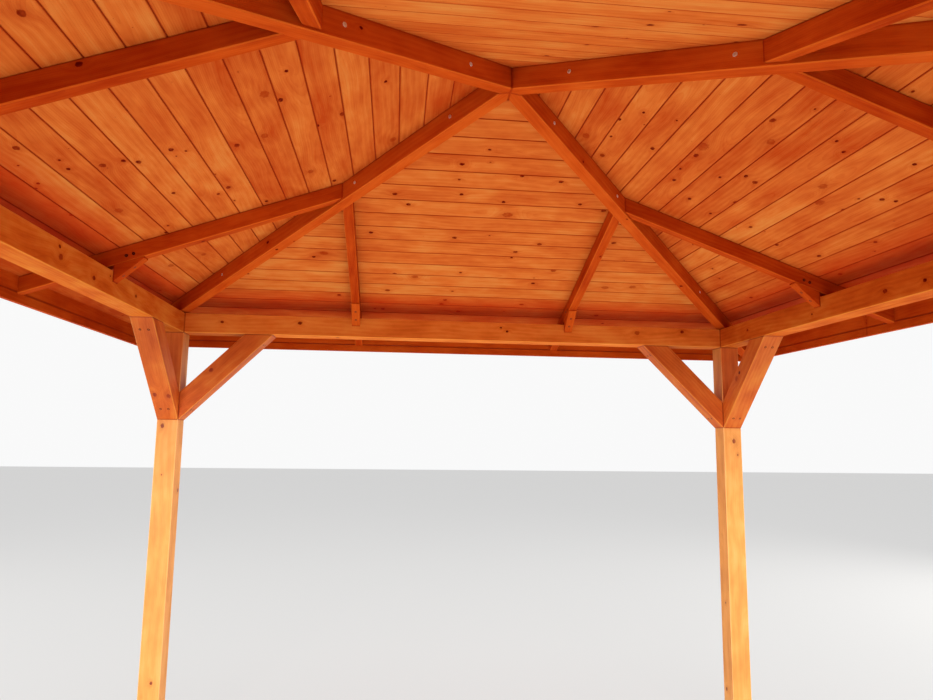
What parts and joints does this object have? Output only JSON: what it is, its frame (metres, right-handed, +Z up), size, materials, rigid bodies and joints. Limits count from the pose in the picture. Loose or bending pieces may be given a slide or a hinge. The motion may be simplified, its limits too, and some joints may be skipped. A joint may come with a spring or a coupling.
{
  "type": "garden gazebo",
  "caption": "Square open-sided timber gazebo: corner posts, wall beams, knee braces, and a hipped roof of rafters, tongued boards and shingles.",
  "frame": {"origin": "on the ground, at the middle of the square between the posts", "axes": "+Z up, +X to the right and +Y to the back, seen from the front, which is the side nearest to the camera"},
  "size_m": [3.5308, 3.5308, 2.7741],
  "materials": {
    "post_timber": "satin",
    "beam_timber": "satin",
    "brace_timber": "satin",
    "rafter_timber": "satin",
    "block_timber": "satin",
    "board_timber": "satin",
    "fascia_timber": "satin",
    "shingle": "matte"
  },
  "bodies": {
    "root": {"post_front_left": "post_timber", "post_front_right": "post_timber", "post_back_right": "post_timber", "post_back_left": "post_timber", "beam_front": "beam_timber", "beam_right": "beam_timber", "beam_back": "beam_timber", "beam_left": "beam_timber", "knee_brace_front_left": "brace_timber", "knee_brace_front_right": "brace_timber", "knee_brace_right_front": "brace_timber", "knee_brace_right_back": "brace_timber", "knee_brace_back_right": "brace_timber", "knee_brace_back_left": "brace_timber", "knee_brace_left_back": "brace_timber", "knee_brace_left_front": "brace_timber", "hip_rafter_front_left": "rafter_timber", "hip_rafter_front_right": "rafter_timber", "hip_rafter_back_right": "rafter_timber", "hip_rafter_back_left": "rafter_timber", "jack_rafter_front_left": "rafter_timber", "jack_rafter_front_right": "rafter_timber", "jack_rafter_right_front": "rafter_timber", "jack_rafter_right_back": "rafter_timber", "jack_rafter_back_right": "rafter_timber", "jack_rafter_back_left": "rafter_timber", "jack_rafter_left_back": "rafter_timber", "jack_rafter_left_front": "rafter_timber", "wedge_blocks_front": "block_timber", "wedge_blocks_right": "block_timber", "wedge_blocks_back": "block_timber", "wedge_blocks_left": "block_timber", "roof_boards_front": "board_timber", "roof_boards_right": "board_timber", "roof_boards_back": "board_timber", "roof_boards_left": "board_timber", "fascia_front": "fascia_timber", "fascia_right": "fascia_timber", "fascia_back": "fascia_timber", "fascia_left": "fascia_timber", "shingles_front": "shingle", "shingles_right": "shingle", "shingles_back": "shingle", "shingles_left": "shingle", "hip_caps": "shingle"}
  },
  "joints": []
}
